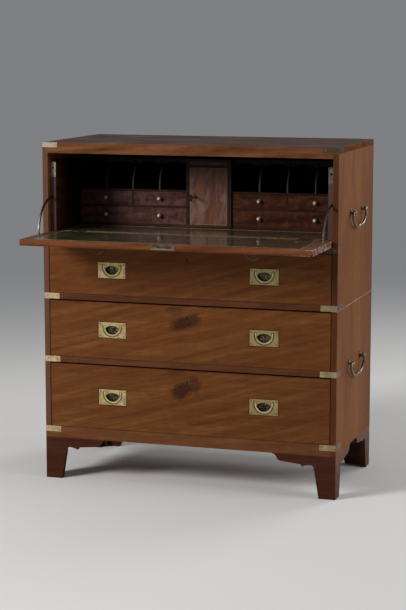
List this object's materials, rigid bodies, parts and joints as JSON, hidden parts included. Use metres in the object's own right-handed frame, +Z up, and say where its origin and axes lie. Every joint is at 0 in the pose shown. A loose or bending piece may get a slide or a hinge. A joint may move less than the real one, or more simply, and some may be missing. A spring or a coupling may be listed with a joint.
{
  "type": "campaign desk",
  "caption": "Stacking wooden campaign desk: brass-bound chest of long drawers under a secretaire drawer whose front falls open as a leather writing surface.",
  "frame": {"origin": "on the floor, under the middle of the box that holds the open desk", "axes": "+Z up, +Y to the back, +X to the right as seen from the front"},
  "size_m": [1.042, 0.7538, 1.13],
  "materials": {
    "mahogany": "worn french polish",
    "dark_mahogany": "french polish",
    "lining_wood": "bare",
    "brass": "aged, brushed",
    "green_leather": "worn, gilt lined",
    "bone": "polished"
  },
  "bodies": {
    "lower_chest": {"lower_sides": "mahogany", "lower_bottom": "mahogany", "lower_divider": "mahogany", "lower_dust_top": "lining_wood", "lower_back": "lining_wood", "bracket_feet": "dark_mahogany", "lower_brass_straps": "brass", "locating_pegs": "lining_wood", "lower_handle_posts": "brass"},
    "upper_chest": {"upper_sides": "mahogany", "upper_top": "mahogany", "upper_divider": "mahogany", "upper_bottom": "mahogany", "upper_back": "lining_wood", "upper_brass_straps": "brass", "upper_handle_posts": "brass"},
    "secretaire_drawer": {"secretaire_sides": "mahogany", "secretaire_floor": "mahogany", "floor_leather": "green_leather", "secretaire_brass": "brass", "pigeonhole_case": "mahogany", "pigeonhole_partitions": "mahogany"},
    "fall": {"fall_panel": "mahogany", "fall_leather": "green_leather", "fall_hinges": "brass", "quadrant_stays": "brass", "fall_fittings": "brass"},
    "fall_left_bail": {"fall_left_bail": "brass"},
    "fall_right_bail": {"fall_right_bail": "brass"},
    "cupboard_door": {"cupboard_door": "mahogany", "door_brass": "brass"},
    "cupboard_key": {"cupboard_key": "brass"},
    "left_inner_drawer": {"left_inner_drawer": "mahogany", "left_inner_drawer_knob": "bone"},
    "left_outer_drawer": {"left_outer_drawer": "mahogany", "left_outer_drawer_knob": "bone"},
    "left_wide_drawer": {"left_wide_drawer": "mahogany", "left_wide_drawer_knob": "bone"},
    "right_inner_drawer": {"right_inner_drawer": "mahogany", "right_inner_drawer_knob": "bone"},
    "right_outer_drawer": {"right_outer_drawer": "mahogany", "right_outer_drawer_knob": "bone"},
    "right_wide_drawer": {"right_wide_drawer": "mahogany", "right_wide_drawer_knob": "bone"},
    "bottom_drawer": {"bottom_drawer": "mahogany", "bottom_drawer_fittings": "brass"},
    "bottom_drawer_left_bail": {"bottom_drawer_left_bail": "brass"},
    "bottom_drawer_right_bail": {"bottom_drawer_right_bail": "brass"},
    "middle_drawer": {"middle_drawer": "mahogany", "middle_drawer_fittings": "brass"},
    "middle_drawer_left_bail": {"middle_drawer_left_bail": "brass"},
    "middle_drawer_right_bail": {"middle_drawer_right_bail": "brass"},
    "top_drawer": {"top_drawer": "mahogany", "top_drawer_fittings": "brass"},
    "top_drawer_left_bail": {"top_drawer_left_bail": "brass"},
    "top_drawer_right_bail": {"top_drawer_right_bail": "brass"},
    "lower_left_bail": {"lower_left_bail": "brass"},
    "lower_right_bail": {"lower_right_bail": "brass"},
    "upper_left_bail": {"upper_left_bail": "brass"},
    "upper_right_bail": {"upper_right_bail": "brass"}
  },
  "joints": [
    {"name": "upper_chest_lift", "type": "slide", "parent": "lower_chest", "child": "upper_chest", "axis": [0, 0, 1], "range_m": [0, 0.05]},
    {"name": "secretaire_slide", "type": "slide", "parent": "upper_chest", "child": "secretaire_drawer", "axis": [0, -1, 0], "range_m": [0, 0.24]},
    {"name": "fall_hinge", "type": "hinge", "parent": "secretaire_drawer", "child": "fall", "pos_m": [0, -0.1164, 0.833], "axis": [-1, 0, 0], "range_deg": [0, 90]},
    {"name": "fall_left_bail_hinge", "type": "hinge", "parent": "fall", "child": "fall_left_bail", "pos_m": [-0.26, -0.2664, 0.8182], "axis": [1, 0, 0], "range_deg": [0, 90]},
    {"name": "fall_right_bail_hinge", "type": "hinge", "parent": "fall", "child": "fall_right_bail", "pos_m": [0.26, -0.2664, 0.8182], "axis": [1, 0, 0], "range_deg": [0, 90]},
    {"name": "cupboard_door_hinge", "type": "hinge", "parent": "secretaire_drawer", "child": "cupboard_door", "pos_m": [0.061, 0.1079, 0.9438], "axis": [0, 0, 1], "range_deg": [0, 90]},
    {"name": "cupboard_key_turn", "type": "hinge", "parent": "cupboard_door", "child": "cupboard_key", "pos_m": [-0.046, 0.1019, 0.94186], "axis": [0, 1, 0], "range_deg": [0, 90]},
    {"name": "left_inner_drawer_slide", "type": "slide", "parent": "secretaire_drawer", "child": "left_inner_drawer", "axis": [0, -1, 0], "range_m": [0, 0.19]},
    {"name": "left_outer_drawer_slide", "type": "slide", "parent": "secretaire_drawer", "child": "left_outer_drawer", "axis": [0, -1, 0], "range_m": [0, 0.19]},
    {"name": "left_wide_drawer_slide", "type": "slide", "parent": "secretaire_drawer", "child": "left_wide_drawer", "axis": [0, -1, 0], "range_m": [0, 0.19]},
    {"name": "right_inner_drawer_slide", "type": "slide", "parent": "secretaire_drawer", "child": "right_inner_drawer", "axis": [0, -1, 0], "range_m": [0, 0.09]},
    {"name": "right_outer_drawer_slide", "type": "slide", "parent": "secretaire_drawer", "child": "right_outer_drawer", "axis": [0, -1, 0], "range_m": [0, 0.19]},
    {"name": "right_wide_drawer_slide", "type": "slide", "parent": "secretaire_drawer", "child": "right_wide_drawer", "axis": [0, -1, 0], "range_m": [0, 0.19]},
    {"name": "bottom_drawer_slide", "type": "slide", "parent": "lower_chest", "child": "bottom_drawer", "axis": [0, -1, 0], "range_m": [0, 0.36]},
    {"name": "bottom_drawer_left_bail_hinge", "type": "hinge", "parent": "bottom_drawer", "child": "bottom_drawer_left_bail", "pos_m": [-0.26, -0.1312, 0.305], "axis": [-1, 0, 0], "range_deg": [0, 90]},
    {"name": "bottom_drawer_right_bail_hinge", "type": "hinge", "parent": "bottom_drawer", "child": "bottom_drawer_right_bail", "pos_m": [0.26, -0.1312, 0.305], "axis": [-1, 0, 0], "range_deg": [0, 90]},
    {"name": "middle_drawer_slide", "type": "slide", "parent": "lower_chest", "child": "middle_drawer", "axis": [0, -1, 0], "range_m": [0, 0.36]},
    {"name": "middle_drawer_left_bail_hinge", "type": "hinge", "parent": "middle_drawer", "child": "middle_drawer_left_bail", "pos_m": [-0.26, -0.1312, 0.531], "axis": [-1, 0, 0], "range_deg": [0, 90]},
    {"name": "middle_drawer_right_bail_hinge", "type": "hinge", "parent": "middle_drawer", "child": "middle_drawer_right_bail", "pos_m": [0.26, -0.1312, 0.531], "axis": [-1, 0, 0], "range_deg": [0, 90]},
    {"name": "top_drawer_slide", "type": "slide", "parent": "upper_chest", "child": "top_drawer", "axis": [0, -1, 0], "range_m": [0, 0.128]},
    {"name": "top_drawer_left_bail_hinge", "type": "hinge", "parent": "top_drawer", "child": "top_drawer_left_bail", "pos_m": [-0.26, -0.1312, 0.73], "axis": [-1, 0, 0], "range_deg": [0, 90]},
    {"name": "top_drawer_right_bail_hinge", "type": "hinge", "parent": "top_drawer", "child": "top_drawer_right_bail", "pos_m": [0.26, -0.1312, 0.73], "axis": [-1, 0, 0], "range_deg": [0, 90]},
    {"name": "lower_left_bail_hinge", "type": "hinge", "parent": "lower_chest", "child": "lower_left_bail", "pos_m": [-0.513, 0.1219, 0.416], "axis": [0, 1, 0], "range_deg": [0, 95]},
    {"name": "lower_right_bail_hinge", "type": "hinge", "parent": "lower_chest", "child": "lower_right_bail", "pos_m": [0.513, 0.1219, 0.416], "axis": [0, -1, 0], "range_deg": [0, 95]},
    {"name": "upper_left_bail_hinge", "type": "hinge", "parent": "upper_chest", "child": "upper_left_bail", "pos_m": [-0.513, 0.1219, 0.91], "axis": [0, 1, 0], "range_deg": [0, 95]},
    {"name": "upper_right_bail_hinge", "type": "hinge", "parent": "upper_chest", "child": "upper_right_bail", "pos_m": [0.513, 0.1219, 0.91], "axis": [0, -1, 0], "range_deg": [0, 95]}
  ]
}
